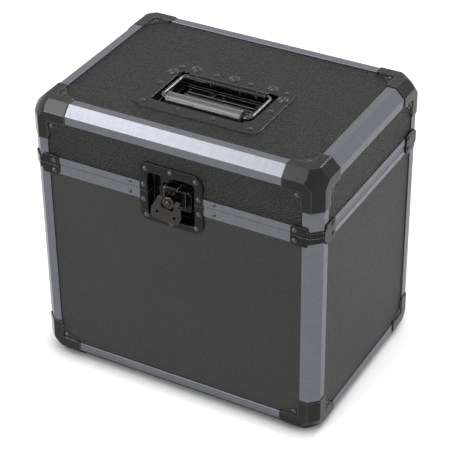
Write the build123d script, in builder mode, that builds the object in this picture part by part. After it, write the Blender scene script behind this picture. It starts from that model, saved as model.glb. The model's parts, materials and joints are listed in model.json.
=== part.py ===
from build123d import *
import os
from math import cos, radians, sin, sqrt, tan

# Record carrying case with a deep hinged lid. Millimetres, +Z up, X along the front, Y to the back.
# The origin is on the surface that the case stands on, under the middle of its outer box.

# Case, measured over its extrusions
case_width = 380.0
case_depth = 270.0
base_height = 283.0          # from the bottom extrusions' underside to the seam
lid_height = 81.0            # from the seam to the top extrusions' upper face
seam_gap = 0.3               # between the lid's rail and the base's rail
body_clearance = 0.4         # between pieces that move past each other
seat_clearance = 0.1         # round a piece in its slot or hole

# Edge extrusions: a wide chamfer between two legs, with a slot for a panel behind each leg
leg_length = 22.3
edge_chamfer = 11.3
leg_wall = 1.5
leg_tip_bevel = 0.4
extrusion_gap = 0.7          # from the corner facet or the legs to the ends of posts and rails
panel_thickness = 6.0

# Seam extrusions
lid_rail_height = 10.6
base_rail_height = 11.8
rail_web = 1.6               # metal between the seam and the panel slot of the base's rail
groove_roof = 2.0            # metal above the groove of the lid's rail
rail_step_depth = 0.7
rail_step_height = 3.4
rail_lip_height = 1.5
tongue_height = 3.5
tongue_base = 2.6
tongue_top = 1.4

# Corner caps
cap_wall = 1.2
cap_arm = 48.0
cap_flange_wall = 0.8
cap_flange_tail = 1.5        # the flange stops this short of the arm's end
cap_flange_dip = 2.0         # hollow of the flange's free edge
cap_rivet_gap = 2.1          # from the cap's lip to its rivets' heads
cap_window_radius = 2.0
facet_reach = 21.5           # where the corner facet crosses the edge of a chamfer
facet_dome_radius = 52.0
facet_dome_margin = 1.0      # the dome reaches this far past the facet's corners

# Corner brackets across the seam
bracket_wall = 1.8
bracket_front_arm = 36.0
bracket_side_arm = 37.0
bracket_height = 12.6        # of one half
bracket_waist = 7.0          # height of one half across the chamfer
bracket_waist_reach = 3.0    # the waist runs this far past the chamfer
bracket_radius = 2.5
bracket_rivet_inset = 5.5    # from the arm's end

# Rivets
head_radius = 3.4
head_height = 1.8
head_rim = 0.4               # upright edge under the dome
small_head_radius = 2.4
small_head_height = 1.1
shank_radius = 1.6
tail_radius = 2.4
tail_height = 1.0
washer_radius = 6.8
washer_height = 1.1
washer_crest = 5.8           # radius of the washer's highest ring
washer_seat = 0.5            # height of the washer where the large head sits
large_head_radius = 4.5
large_head_height = 2.3
large_head_hole = 1.5
large_head_hole_depth = 1.0
large_head_fullness = 0.75   # of the head's height, two thirds of the way out
lid_rivet_height = 7.0       # rail, bracket and hinge rivets, above the seam
base_rivet_height = 6.6      # the same, below the seam
rail_rivet_spacing = 112.0

# Latch dish, split at the seam
latch_width = 84.0
latch_low = 39.0             # plate's lower edge, below the seam
latch_high = 39.5            # plate's upper edge, above the seam
latch_corner = 13.0
latch_plate = 1.2
opening_width = 62.0
opening_low = 30.0
opening_high = 27.0
opening_corner = 5.0
latch_depth = 14.0
latch_edge_round = 1.0
latch_rivet_inset = 8.8      # corner rivets, from the plate's side
latch_rivet_high = 7.8       # upper corner rivets, below the plate's upper edge
latch_rivet_high_middle = 4.8
latch_rivet_low = 7.8        # lower corner rivets, above the plate's lower edge
latch_rivet_low_middle = 4.6
latch_side_rivet_high = 9.4  # side rivets, above the seam and below it
latch_side_rivet_low = 10.4

# Latch works, from the hub's axis and, front to back, from the case's front face
hub_drop = 2.2               # hub's axis below the seam
latch_turned = 8.0           # degrees, closed latch short of upright, clockwise from the front
shaft_radius = 4.0
shaft_play = 0.05
bearing_width = 42.0
bearing_low = 18.0
bearing_high = 8.5
bearing_thickness = 4.0
bearing_lift = 0.6           # bearing plate clear of the lid's half of the dish
bearing_corner = 3.0
boss_stud_radius = 2.2
boss_stud_height = 1.0
boss_stud_round = 0.8
boss_stud_inset = 3.4        # studs, from the bearing plate's edges
works_gap = 0.4              # between the bearing plate, the claw and the hub
claw_thickness = 2.4
cam_throw = 3.0              # the claw travels twice this
cam_radius = 7.5
cam_slack = 0.75             # a steady lift runs nearly this far ahead of the cam or behind it
claw_wall = 3.5
claw_neck_width = 15.0
claw_reach = 17.0            # top of the claw
claw_head_width = 17.0
claw_head_height = 5.0
claw_head_front = 0.4        # in front of the case's front face
claw_head_round = 1.3
claw_bar_height = 2.5
claw_bar_depth = 1.6
keeper_width = 22.0
keeper_low = 10.2
keeper_high = 12.4
keeper_depth = 2.4
collar_radius = 10.2
collar_front = -2.0
ring_radius = 9.3
ring_front = 0.4
hub_radius = 8.2
hub_front = 8.6
hub_round = 1.6
boss_radius = 4.4
boss_height = 1.5
boss_round = 1.2
pivot_front = 6.0            # wing's pivot
pivot_radius = 1.5
pivot_play = 0.06
wing_ear_radius = 2.7
wing_ear_outside = 14.0
wing_ear_top = 4.8           # above the pivot
wing_ear_corner = 2.5
wing_gap = 0.5               # between the hub and the wing's ears
wing_notch = 9.0             # bottom of the wing's notch, below the pivot
wing_width = 40.0
wing_foot_width = 35.0
wing_shoulder = 14.0         # widest place, below the pivot
wing_length = 24.0
wing_thickness = 2.4
wing_tilt = 13.0             # degrees, foot outwards
wing_corner = 5.5
wing_notch_corner = 3.0
wing_hole_radius = 2.1
wing_hole_spacing = 23.0
wing_hole_drop = 16.0

# Handle
handle_width = 167.0
handle_depth = 111.0
handle_centre = -29.5        # plate's middle, from the case's middle
handle_corner = 14.0
handle_plate = 1.2
handle_edge_round = 0.8
tray_width = 131.0
tray_front = -67.5           # from the case's middle, as are the next places
tray_back = 8.0
tray_depth = 12.6
tray_wall = 1.2
tray_corner = 4.0
tray_step_front = -3.0
tray_step_drop = 9.0         # top of the step in the back wall, below the plate
tray_step_round = 1.2
rib_count = 6
rib_pitch = 7.2
rib_first = 54.3             # the rearmost rib, behind the tray's front edge
rib_height = 0.7
rib_width = 2.8
rib_margin = 19.5
tray_rivet_spacing = 45.2
tray_rivet_gap = 4.9         # rivets' middles in front of the step
stop_place = -15.5           # one stop stud on the tray's floor, left of the middle
stop_radius = 3.6
stop_height = 4.0
stop_round = 2.4
stop_gap = 0.5               # between the stud and the step behind it
bail_pivot = 1.6
bail_drop = 3.0              # bail's axis below the top extrusions
wire_radius = 3.0
wire_play = 0.06
wire_bend = 7.0
bail_gap = 3.5               # between the bail's arms and the tray's sides
grip_gap = 6.5               # between the grip and the tray's front
grip_radius = 8.0
grip_end_gap = 2.5           # between the grip and the bail's bends
grip_round = 1.2
grip_ring_radius = 8.4
grip_ring = 4.0              # length of the ring at each end of the grip
barrel_radius = 5.2
barrel_end_gap = 0.5         # between the barrel and the bail's bends
tongue_radius = 5.7          # two tongues of sheet rolled round the bail
tongue_inner = 20.0          # their ends, from the middle
tongue_outer = 40.0
tongue_gap = 1.3             # cut beside each end of a tongue
barrel_core = 3.8            # what the cuts leave round the bail
handle_rivet_inset = 10.0    # small rivets, from the plate's edges
handle_corner_inset = 13.0   # the same, from its sides near the corners
handle_rivet_spacing = 46.0
large_rivet_inset = 7.5      # from the plate's back edge
large_rivet_spacing = 51.5
large_rivet_drop = 7.0       # the side pair, in front of the tray's back edge

# Rear hinges
hinge_inset = 45.0           # from the case's side to the hinge
hinge_length = 60.0
hinge_leaf = 1.5
hinge_leaf_height = 10.0
hinge_knuckle_radius = 3.5
hinge_knuckles = 5
hinge_knuckle_gap = 0.3
hinge_pin_radius = 1.5
hinge_pin_play = 0.05
hinge_pin_head = 1.2
hinge_pin_head_radius = 2.6
hinge_notch_gap = 0.6
hinge_rivet_inset = 9.0      # outer rivets, from the leaf's ends

# Padding
floor_pad_thickness = 6.0
lid_pad_thickness = 11.0
pad_margin = 2.0
pad_corner_gap = 1.5         # the pads' corners clear of the corner caps' facets

# Levels and faces that the pieces share
hinge_offset = hinge_leaf / 2 + hinge_knuckle_radius        # hinge axis behind the back face
back_reach = hinge_offset + hinge_knuckle_radius
front_reach = (pivot_front + wing_length * sin(radians(wing_tilt))
               + wing_thickness / 2 * cos(radians(wing_tilt)))
middle_y = (front_reach - back_reach) / 2                   # case's middle, from the origin
bottom = cap_wall                                           # underside of the bottom extrusions
seam = bottom + base_height
top = seam + lid_height
lid_seam = seam + seam_gap / 2
base_seam = seam - seam_gap / 2
right_face = case_width / 2
left_face = -right_face
front_face = middle_y - case_depth / 2
back_face = middle_y + case_depth / 2
slot_start = edge_chamfer + leg_wall * (sqrt(2) - 1)        # leaves leg_wall behind the chamfer
panel_back = leg_wall + panel_thickness                     # case face to the panel's inside
channel_depth = panel_back + leg_wall                       # case face to the inner leg's inside
extrusion_end = max(leg_length, facet_reach) + extrusion_gap
panel_edge = slot_start + seat_clearance
panel_corner = facet_reach + edge_chamfer - leg_wall + seat_clearance - 2 * panel_edge
lid_web = tongue_height + body_clearance + groove_roof
panel_top = top - leg_wall                                  # outside of the lid's top panel
plate_top = panel_top + handle_plate
hub_z = seam - hub_drop
cap_rivet_inset = leg_length + cap_wall + head_radius + cap_rivet_gap
hinge_middle = right_face - hinge_inset - hinge_length / 2
prefixes = {"base": -1, "lid": 1}

os.makedirs("parts", exist_ok=True)


def save(part, name):
    """Label a finished piece and write it under its own name."""
    part.label = name
    export_step(part, f"parts/{name}.step")


def block(x, y, z, mode=Mode.ADD):
    """A box between two coordinates on each axis."""
    with Locations(((x[0] + x[1]) / 2, (y[0] + y[1]) / 2, (z[0] + z[1]) / 2)):
        Box(x[1] - x[0], y[1] - y[0], z[1] - z[0], mode=mode)


# Rivet seats

def seats_on(side, places, depth):
    """Planes on one face of the case, sunk by depth, normal outwards."""
    frames = {
        "front": lambda a, b: ((a, front_face + depth, b), (0, -1, 0)),
        "back": lambda a, b: ((a, back_face - depth, b), (0, 1, 0)),
        "left": lambda a, b: ((left_face + depth, a, b), (-1, 0, 0)),
        "right": lambda a, b: ((right_face - depth, a, b), (1, 0, 0)),
        "top": lambda a, b: ((a, b, top - depth), (0, 0, 1)),
        "bottom": lambda a, b: ((a, b, bottom + depth), (0, 0, -1)),
    }
    found = [frames[side](a, b) for a, b in places]
    return [Plane(origin=origin, z_dir=normal) for origin, normal in found]


def drill(seats, depth):
    """A rivet hole through whatever lies within depth of each seat."""
    with Locations(*seats):
        Cylinder(shank_radius + seat_clearance, 2 * depth, mode=Mode.SUBTRACT)


def rivet_level(prefix):
    """Height of the rivets beside the seam."""
    return seam + lid_rivet_height if prefix == "lid" else seam - base_rivet_height


def bracket_places(side, prefix):
    """One rivet in each bracket arm on this side."""
    level = rivet_level(prefix)
    if side in ("front", "back"):
        reach = right_face - bracket_front_arm + bracket_rivet_inset
        return [(-reach, level), (reach, level)]
    reach = case_depth / 2 - bracket_side_arm + bracket_rivet_inset
    return [(middle_y - reach, level), (middle_y + reach, level)]


def cap_places(side, prefix):
    """Rivets in the flanges of the corner caps on one face of the lid or of the base."""
    across = case_depth / 2 - cap_rivet_inset
    along = right_face - cap_rivet_inset
    level = top - cap_rivet_inset if prefix == "lid" else bottom + cap_rivet_inset
    if side in ("top", "bottom"):
        return [(sx * along, middle_y + sy * across) for sx in (-1, 1) for sy in (-1, 1)]
    if side in ("front", "back"):
        return [(-along, level), (along, level)]
    return [(middle_y - across, level), (middle_y + across, level)]


def rail_places(side, prefix):
    """Two rivets in the front and back seam extrusions."""
    if side not in ("front", "back"):
        return []
    reach = rail_rivet_spacing / 2
    return [(-reach, rivet_level(prefix)), (reach, rivet_level(prefix))]


def latch_side_places(side, prefix):
    """Rivets at the sides of the latch dish, midway between its opening and the plate's edge."""
    if side != "front":
        return []
    level = seam + latch_side_rivet_high if prefix == "lid" else seam - latch_side_rivet_low
    reach = (opening_width + latch_width) / 4
    return [(-reach, level), (reach, level)]


def latch_end_places(side, prefix):
    """Rivets at the top or bottom of the latch dish, which go through the panel alone."""
    if side != "front":
        return []
    if prefix == "lid":
        edge = seam + latch_high
        corner, middle = edge - latch_rivet_high, edge - latch_rivet_high_middle
    else:
        edge = seam - latch_low
        corner, middle = edge + latch_rivet_low, edge + latch_rivet_low_middle
    reach = latch_width / 2 - latch_rivet_inset
    return [(-reach, corner), (0, middle), (reach, corner)]


def hinge_places(side, prefix):
    """Three rivets in each hinge leaf."""
    if side != "back":
        return []
    reach = hinge_length / 2 - hinge_rivet_inset
    return [(hinge * hinge_middle + step * reach, rivet_level(prefix))
            for hinge in (-1, 1) for step in (-1, 0, 1)]


def wall_holes(side, prefix):
    """Every rivet hole in one wall of the lid or of the base."""
    kinds = (bracket_places, cap_places, rail_places, latch_side_places, latch_end_places,
             hinge_places)
    return [place for kind in kinds for place in kind(side, prefix)]


# Edge extrusions

def edge_outline(u_sign, v_sign):
    """Section of an edge extrusion from its virtual corner, each leg running inwards."""
    leg, tip = leg_length, leg_length - leg_tip_bevel
    outline = [
        (leg, leg_tip_bevel), (tip, 0), (edge_chamfer, 0), (0, edge_chamfer), (0, tip),
        (leg_tip_bevel, leg), (leg_wall, leg), (leg_wall, slot_start), (panel_back, slot_start),
        (panel_back, leg), (channel_depth, leg), (channel_depth, channel_depth),
        (leg, channel_depth), (leg, panel_back), (slot_start, panel_back),
        (slot_start, leg_wall), (leg, leg_wall),
    ]
    return [(u * u_sign, v * v_sign) for u, v in outline]


def edge_extrusion(start, u_sign, v_sign, length):
    """An edge extrusion that starts on a plane at the case's virtual edge."""
    with BuildPart() as extrusion:
        with BuildSketch(start):
            with BuildLine():
                Polyline(*edge_outline(u_sign, v_sign), close=True)
            make_face()
        extrude(amount=length)
    return extrusion.part


corners = {
    "front_left": (-1, -1), "front_right": (1, -1), "back_left": (-1, 1), "back_right": (1, 1),
}
for place, (sx, sy) in corners.items():
    x, y = sx * right_face, middle_y + sy * case_depth / 2
    foot = bottom + extrusion_end
    save(edge_extrusion(Plane(origin=(x, y, foot)), -sx, -sy, base_seam - foot),
         f"base_post_{place}")
    save(edge_extrusion(Plane(origin=(x, y, lid_seam)), -sx, -sy, top - extrusion_end - lid_seam),
         f"lid_post_{place}")


def level_extrusions(level, v_sign, prefix):
    """The four level edge extrusions at the case's bottom or top."""
    for side, sy in (("front", -1), ("back", 1)):
        start = Plane(origin=(left_face + extrusion_end, middle_y + sy * case_depth / 2, level),
                      x_dir=(0, 1, 0), z_dir=(1, 0, 0))
        save(edge_extrusion(start, -sy, v_sign, case_width - 2 * extrusion_end),
             f"{prefix}_rail_{side}")
    for side, sx in (("left", -1), ("right", 1)):
        start = Plane(origin=(sx * right_face, back_face - extrusion_end, level),
                      x_dir=(1, 0, 0), z_dir=(0, -1, 0))
        save(edge_extrusion(start, -sx, v_sign, case_depth - 2 * extrusion_end),
             f"{prefix}_rail_{side}")


level_extrusions(bottom, 1, "base_bottom")
level_extrusions(top, -1, "lid_top")


# Seam extrusions

def base_rail_outline():
    """Base rail's section, inwards from the case's face and up from the seam, with its tongue."""
    middle = channel_depth / 2
    low = -base_rail_height
    return [
        (rail_step_depth, 0), (rail_step_depth, -rail_step_height),
        (0, -rail_step_height - rail_step_depth), (0, low + rail_lip_height),
        (rail_step_depth / 2, low), (leg_wall, low), (leg_wall, -rail_web),
        (panel_back, -rail_web), (panel_back, low), (channel_depth, low), (channel_depth, 0),
        (middle + tongue_base / 2, 0), (middle + tongue_top / 2, tongue_height),
        (middle - tongue_top / 2, tongue_height), (middle - tongue_base / 2, 0),
    ]


def lid_rail_outline():
    """Lid rail's section, inwards from the case's face and up from the seam, with its groove."""
    middle = channel_depth / 2
    half_groove = tongue_base / 2 + body_clearance
    groove_top = tongue_height + body_clearance
    high, bevel = lid_rail_height, leg_tip_bevel
    bead = rail_lip_height
    return [
        (bevel, 0), (0, bevel), (0, bead), (bevel, bead), (bevel, bead + bevel),
        (0, bead + 2 * bevel), (0, high - bevel), (bevel, high), (leg_wall, high),
        (leg_wall, lid_web), (panel_back, lid_web), (panel_back, high), (channel_depth, high),
        (channel_depth, 0), (middle + half_groove, 0), (middle + half_groove, groove_top),
        (middle - half_groove, groove_top), (middle - half_groove, 0),
    ]


def latch_plane(reach):
    """Plane over the front face, reach in front of it, centred where the seam meets the middle."""
    return Plane(origin=(0, front_face - reach, seam), x_dir=(1, 0, 0), z_dir=(0, -1, 0))


def latch_opening(margin):
    """Outline of the latch dish's opening, widened by a margin, in the active sketch."""
    with Locations((0, (opening_high - opening_low) / 2)):
        RectangleRounded(opening_width + 2 * margin, opening_high + opening_low + 2 * margin,
                         opening_corner + margin)


def clear_latch():
    """Cut the active piece away where the latch dish goes through it."""
    with BuildSketch(latch_plane(latch_plate)) as way:
        latch_opening(latch_plate + seat_clearance)
    extrude(way.sketch, amount=-2 * channel_depth, mode=Mode.SUBTRACT)


def seam_extrusions(outline, level, prefix):
    """Four seam extrusions between the posts; the front one is cut through for the latch dish."""
    long, short = case_width - 2 * leg_length, case_depth - 2 * leg_length
    sides = {
        "front": (left_face + leg_length, front_face, (0, 1, 0), (1, 0, 0), 1, long),
        "back": (left_face + leg_length, back_face, (0, 1, 0), (1, 0, 0), -1, long),
        "left": (left_face, back_face - leg_length, (1, 0, 0), (0, -1, 0), 1, short),
        "right": (right_face, back_face - leg_length, (1, 0, 0), (0, -1, 0), -1, short),
    }
    for side, (x, y, inwards, along, sign, length) in sides.items():
        with BuildPart() as rail:
            with BuildSketch(Plane(origin=(x, y, level), x_dir=inwards, z_dir=along)):
                with BuildLine():
                    Polyline(*[(depth * sign, height) for depth, height in outline], close=True)
                make_face()
            extrude(amount=length)
            if side == "front":
                cut = opening_width / 2 + latch_plate + seat_clearance
                block((-cut, cut), (front_face - leg_wall, front_face + 2 * channel_depth),
                      (bottom, top), mode=Mode.SUBTRACT)
            drill(seats_on(side, wall_holes(side, prefix), 0), 2 * channel_depth)
        save(rail.part, f"{prefix}_seam_rail_{side}")


seam_extrusions(lid_rail_outline(), lid_seam, "lid")
seam_extrusions(base_rail_outline(), base_seam, "base")


# Panels

def wall_panels(heights, prefix):
    """Front, back, left and right panels of the lid or of the base, in the extrusions' slots."""
    x = (left_face + panel_edge, right_face - panel_edge)
    y = (front_face + panel_edge, back_face - panel_edge)
    spans = {
        "front": (x, (front_face + leg_wall, front_face + panel_back)),
        "back": (x, (back_face - panel_back, back_face - leg_wall)),
        "left": ((left_face + leg_wall, left_face + panel_back), y),
        "right": ((right_face - panel_back, right_face - leg_wall), y),
    }
    for side, (across, deep) in spans.items():
        with BuildPart() as panel:
            block(across, deep, heights)
            through = Axis.Y if side in ("front", "back") else Axis.X
            rows = panel.edges().filter_by(through).group_by(Axis.Z)
            chamfer(rows[-1] if prefix == "lid" else rows[0], length=panel_corner)
            if side == "front":
                clear_latch()
            drill(seats_on(side, wall_holes(side, prefix), 0), 2 * channel_depth)
        save(panel.part, f"{prefix}_{side}_panel")


wall_panels((bottom + panel_edge, base_seam - rail_web - seat_clearance), "base")
wall_panels((lid_seam + lid_web + seat_clearance, top - panel_edge), "lid")

flat_x = (left_face + panel_edge, right_face - panel_edge)
flat_y = (front_face + panel_edge, back_face - panel_edge)
with BuildPart() as base_floor_panel:
    block(flat_x, flat_y, (bottom + leg_wall, bottom + panel_back))
    chamfer(base_floor_panel.edges().filter_by(Axis.Z), length=panel_corner)
    drill(seats_on("bottom", cap_places("bottom", "base"), 0), 2 * channel_depth)
save(base_floor_panel.part, "base_floor_panel")

plate_side = handle_width / 2
plate_front = middle_y + handle_centre - handle_depth / 2
plate_back = plate_front + handle_depth
handle_places = [(sx * x, y) for sx in (-1, 1) for x, y in (
    (plate_side - handle_corner_inset, plate_front + handle_rivet_inset),
    (handle_rivet_spacing / 2, plate_front + handle_rivet_inset),
    (plate_side - handle_rivet_inset, middle_y + handle_centre),
    (handle_rivet_spacing / 2, plate_back - handle_rivet_inset),
    (plate_side - handle_corner_inset, plate_back - handle_rivet_inset))]
large_places = [(step * large_rivet_spacing, plate_back - large_rivet_inset) for step in (-1, 0, 1)]
large_places += [(sx * (plate_side - handle_rivet_inset), middle_y + tray_back - large_rivet_drop)
                 for sx in (-1, 1)]
tray_places = [(step * tray_rivet_spacing, middle_y + tray_step_front - tray_rivet_gap)
               for step in (-1, 0, 1)]


def tray_outline(margin):
    """Outline of the handle's tray, widened by a margin, in the active sketch."""
    with Locations((0, middle_y + (tray_front + tray_back) / 2)):
        RectangleRounded(tray_width + 2 * margin, tray_back - tray_front + 2 * margin,
                         tray_corner + margin)


with BuildPart() as lid_top_panel:
    block(flat_x, flat_y, (top - panel_back, panel_top))
    chamfer(lid_top_panel.edges().filter_by(Axis.Z), length=panel_corner)
    with BuildSketch(Plane.XY.offset(panel_top)):
        tray_outline(tray_wall + seat_clearance)
    extrude(amount=-panel_thickness, mode=Mode.SUBTRACT)
    drill(seats_on("top", cap_places("top", "lid") + handle_places + large_places, 0),
          2 * channel_depth)
save(lid_top_panel.part, "lid_top_panel")


# Corner caps

def corner_envelope(stand_off, reach):
    """Solid round one case corner at the origin, its faces moved out by stand_off."""
    size = reach + stand_off
    leg = edge_chamfer + stand_off * (2 - sqrt(2))
    with BuildPart() as envelope:
        with Locations((-stand_off, -stand_off, -stand_off)):
            Box(size, size, size, align=(Align.MIN, Align.MIN, Align.MIN))
        near = [edge for edge in envelope.edges()
                if sorted(tuple(edge.center()))[1] < seat_clearance]
        chamfer(near, length=leg)
    return envelope.part


def facet_plane(stand_off):
    """Plane across the corner where its facet cuts the chamfers, normal pointing inwards."""
    reach = (facet_reach + edge_chamfer - stand_off * sqrt(3)) / 3
    return Plane(origin=(reach, reach, reach), z_dir=(1, 1, 1))


facet_radius = facet_dome_margin + sqrt(
    facet_reach ** 2 + edge_chamfer ** 2 - (facet_reach + edge_chamfer) ** 2 / 3)
dome_sink = sqrt(facet_dome_radius ** 2 - facet_radius ** 2)
with BuildPart() as cap_dome:
    add(corner_envelope(cap_wall, cap_arm))
    with Locations(facet_plane(cap_wall).offset(dome_sink)):
        Sphere(facet_dome_radius, mode=Mode.INTERSECT)
with BuildPart() as cap_outside:
    add(corner_envelope(cap_wall, cap_arm))
    split(bisect_by=facet_plane(cap_wall), keep=Keep.TOP)
    add(cap_dome.part)
with BuildPart() as cap_inside:
    add(corner_envelope(0, 2 * cap_arm))
    split(bisect_by=facet_plane(0), keep=Keep.TOP)

inward_faces = [
    Plane(origin=(0, 0, 0), x_dir=(1, 0, 0), z_dir=(0, 0, 1)),
    Plane(origin=(0, 0, 0), x_dir=(0, 1, 0), z_dir=(1, 0, 0)),
    Plane(origin=(0, 0, 0), x_dir=(0, 0, 1), z_dir=(0, 1, 0)),
]
lip = leg_length + cap_wall
flange_end = cap_arm - cap_flange_tail
flange_middle = (leg_length + flange_end) / 2 - cap_flange_dip
with BuildPart() as corner_cap:
    add(cap_outside.part)
    add(cap_inside.part, mode=Mode.SUBTRACT)
    for face in inward_faces:
        with BuildSketch(face.offset(-2 * cap_wall)) as window:
            with Locations((lip, lip)):
                Rectangle(cap_arm, cap_arm, align=(Align.MIN, Align.MIN))
            fillet(window.vertices().sort_by_distance((0, 0, 0))[0], radius=cap_window_radius)
        extrude(amount=2 * cap_wall, mode=Mode.SUBTRACT)
    for face in inward_faces:
        with BuildSketch(face) as turned_edge:
            with Locations((leg_length, leg_length)):
                Rectangle(cap_arm - leg_length, cap_arm - leg_length,
                          align=(Align.MIN, Align.MIN))
            with Locations((lip, lip)):
                Rectangle(cap_arm, cap_arm, align=(Align.MIN, Align.MIN), mode=Mode.SUBTRACT)
        extrude(amount=leg_wall)
        with BuildSketch(face.offset(leg_wall - cap_flange_wall)):
            with BuildLine():
                Line((leg_length, leg_length), (flange_end, leg_length))
                ThreePointArc((flange_end, leg_length), (flange_middle, flange_middle),
                              (leg_length, flange_end))
                Line((leg_length, flange_end), (leg_length, leg_length))
            make_face()
        extrude(amount=cap_flange_wall)
        hole = Plane(origin=face.from_local_coords((cap_rivet_inset, cap_rivet_inset, 0)),
                     z_dir=face.z_dir)
        drill([hole], 2 * leg_wall)

for prefix, sign in prefixes.items():
    for place, (sx, sy) in corners.items():
        along = (-sx, 0, 0) if sx * sy * sign < 0 else (0, -sy, 0)
        seat = Plane(origin=(sx * right_face, middle_y + sy * case_depth / 2,
                             top if sign > 0 else bottom), x_dir=along, z_dir=(0, 0, -sign))
        with BuildPart() as cap:
            with Locations(seat):
                add(corner_cap.part)
        save(cap.part, f"{prefix}_cap_{place}")


# Corner brackets

def bracket(sx, sy, prefix):
    """Half of a corner bracket: a bent strip, narrow across the chamfer."""
    sign = prefixes[prefix]
    bend = edge_chamfer - bracket_wall * tan(radians(22.5))
    outline = [
        (bracket_front_arm, 0), (edge_chamfer, 0), (0, edge_chamfer), (0, bracket_side_arm),
        (-bracket_wall, bracket_side_arm), (-bracket_wall, bend), (bend, -bracket_wall),
        (bracket_front_arm, -bracket_wall),
    ]
    level = seam + sign * seam_gap / 2
    x, y = sx * right_face, middle_y + sy * case_depth / 2
    waist = edge_chamfer + bracket_waist_reach
    with BuildPart() as half:
        with BuildSketch(Plane(origin=(x, y, level))):
            with BuildLine():
                Polyline(*[(-sx * u, -sy * v) for u, v in outline], close=True)
            make_face()
        extrude(amount=sign * bracket_height)
        block((x - waist, x + waist), (y - waist, y + waist),
              sorted((level + sign * bracket_waist, level + 2 * sign * bracket_height)),
              mode=Mode.SUBTRACT)
        fillet(half.edges().filter_by(
            lambda edge: abs(edge.length - bracket_wall) < seat_clearance
            and abs(edge.center().Z - level) > seam_gap), radius=bracket_radius)
        drill(seats_on("front" if sy < 0 else "back", bracket_places("front", prefix), 0),
              2 * bracket_wall)
        drill(seats_on("left" if sx < 0 else "right", bracket_places("left", prefix), 0),
              2 * bracket_wall)
    return half.part


for prefix in prefixes:
    with BuildPart() as seam_brackets:
        for sx, sy in corners.values():
            add(bracket(sx, sy, prefix))
    save(seam_brackets.part, f"{prefix}_seam_brackets")


# Latch dish and keeper

with BuildPart() as latch_dish:
    with BuildSketch(latch_plane(0)):
        with Locations((0, (latch_high - latch_low) / 2)):
            RectangleRounded(latch_width, latch_high + latch_low, latch_corner)
            RectangleRounded(latch_width - 2 * latch_plate, latch_high + latch_low - 2 * latch_plate,
                             latch_corner - latch_plate, mode=Mode.SUBTRACT)
    extrude(amount=-leg_wall)
    block((-latch_width, latch_width), (front_face - latch_plate, front_face + channel_depth),
          (base_seam - base_rail_height - seat_clearance, lid_seam + lid_rail_height + seat_clearance),
          mode=Mode.SUBTRACT)
    with BuildSketch(latch_plane(0)):
        with Locations((0, (latch_high - latch_low) / 2)):
            RectangleRounded(latch_width, latch_high + latch_low, latch_corner)
    extrude(amount=latch_plate)
    with BuildSketch(latch_plane(0)):
        latch_opening(latch_plate)
    extrude(amount=-latch_depth - latch_plate)
    with BuildSketch(latch_plane(latch_plate)):
        latch_opening(0)
    extrude(amount=-latch_plate - latch_depth, mode=Mode.SUBTRACT)
    fillet(latch_dish.faces().sort_by(Axis.Y)[0].edges(), radius=latch_edge_round)
    for prefix in prefixes:
        drill(seats_on("front", latch_side_places("front", prefix)
                       + latch_end_places("front", prefix), 0), channel_depth)

with BuildPart() as latch_dish_lower:
    add(latch_dish.part)
    split(bisect_by=Plane.XY.offset(base_seam), keep=Keep.BOTTOM)
save(latch_dish_lower.part, "latch_dish_lower")

latch_floor = front_face + latch_depth
with BuildPart() as latch_dish_upper:
    add(latch_dish.part)
    split(bisect_by=Plane.XY.offset(lid_seam), keep=Keep.TOP)
    block((-keeper_width / 2, keeper_width / 2), (latch_floor - keeper_depth, latch_floor),
          (seam + keeper_low, seam + keeper_high))
save(latch_dish_upper.part, "latch_dish_upper")


# Latch works: a bearing plate, the turning hub with its cam, the claw and the folding wing

bearing_front = latch_floor - bearing_thickness
claw_back = bearing_front - works_gap
claw_front = claw_back - claw_thickness
collar_back = claw_front - works_gap
hub_plane = Plane(origin=(0, front_face, hub_z), x_dir=(1, 0, 0), z_dir=(0, -1, 0))
pivot_plane = hub_plane.offset(pivot_front) * Rotation(0, 0, -latch_turned)


def disc(radius, back, front, lift=0):
    """A disc on the hub's axis between two places in front of or behind the front face."""
    with Locations(hub_plane.offset(back)):
        with Locations((0, lift, 0)):
            Cylinder(radius, front - back, align=(Align.CENTER, Align.CENTER, Align.MIN))


with BuildPart() as latch_bearing:
    block((-bearing_width / 2, bearing_width / 2), (bearing_front, latch_floor),
          (hub_z - bearing_low, hub_z + bearing_high))
    fillet(latch_bearing.edges().filter_by(Axis.Y), radius=bearing_corner)
    block((-bearing_width, bearing_width), (latch_floor - bearing_lift, latch_floor),
          (base_seam, hub_z + bearing_low), mode=Mode.SUBTRACT)
    with Locations(hub_plane):
        Cylinder(shaft_radius + shaft_play, 4 * latch_depth, mode=Mode.SUBTRACT)
    stud_x = bearing_width / 2 - boss_stud_inset
    stud_levels = (-bearing_low + boss_stud_inset, bearing_high - boss_stud_inset)
    with Locations(hub_plane.offset(front_face - bearing_front)):
        with Locations(*[(sx * stud_x, level) for sx in (-1, 1) for level in stud_levels]):
            Cylinder(boss_stud_radius, boss_stud_height,
                     align=(Align.CENTER, Align.CENTER, Align.MIN))
    rims = latch_bearing.edges().filter_by(GeomType.CIRCLE).group_by(Axis.Y)[0]
    fillet(rims, radius=boss_stud_round)
save(latch_bearing.part, "latch_bearing")

with BuildPart() as latch_hub:
    disc(shaft_radius, -latch_depth + bearing_lift, front_face - collar_back)
    disc(cam_radius, front_face - claw_back, front_face - collar_back, -cam_throw)
    disc(collar_radius, front_face - collar_back, collar_front)
    disc(ring_radius, collar_front, ring_front)
    disc(hub_radius, ring_front, hub_front)
    fillet(latch_hub.edges().sort_by(Axis.Y)[0], radius=hub_round)
    disc(boss_radius, hub_front, hub_front + boss_height)
    fillet(latch_hub.edges().sort_by(Axis.Y)[0], radius=boss_round)
    with Locations(pivot_plane):
        Cylinder(pivot_radius, 2 * wing_ear_outside, rotation=(0, 90, 0))
save(latch_hub.part, "latch_hub")

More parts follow.
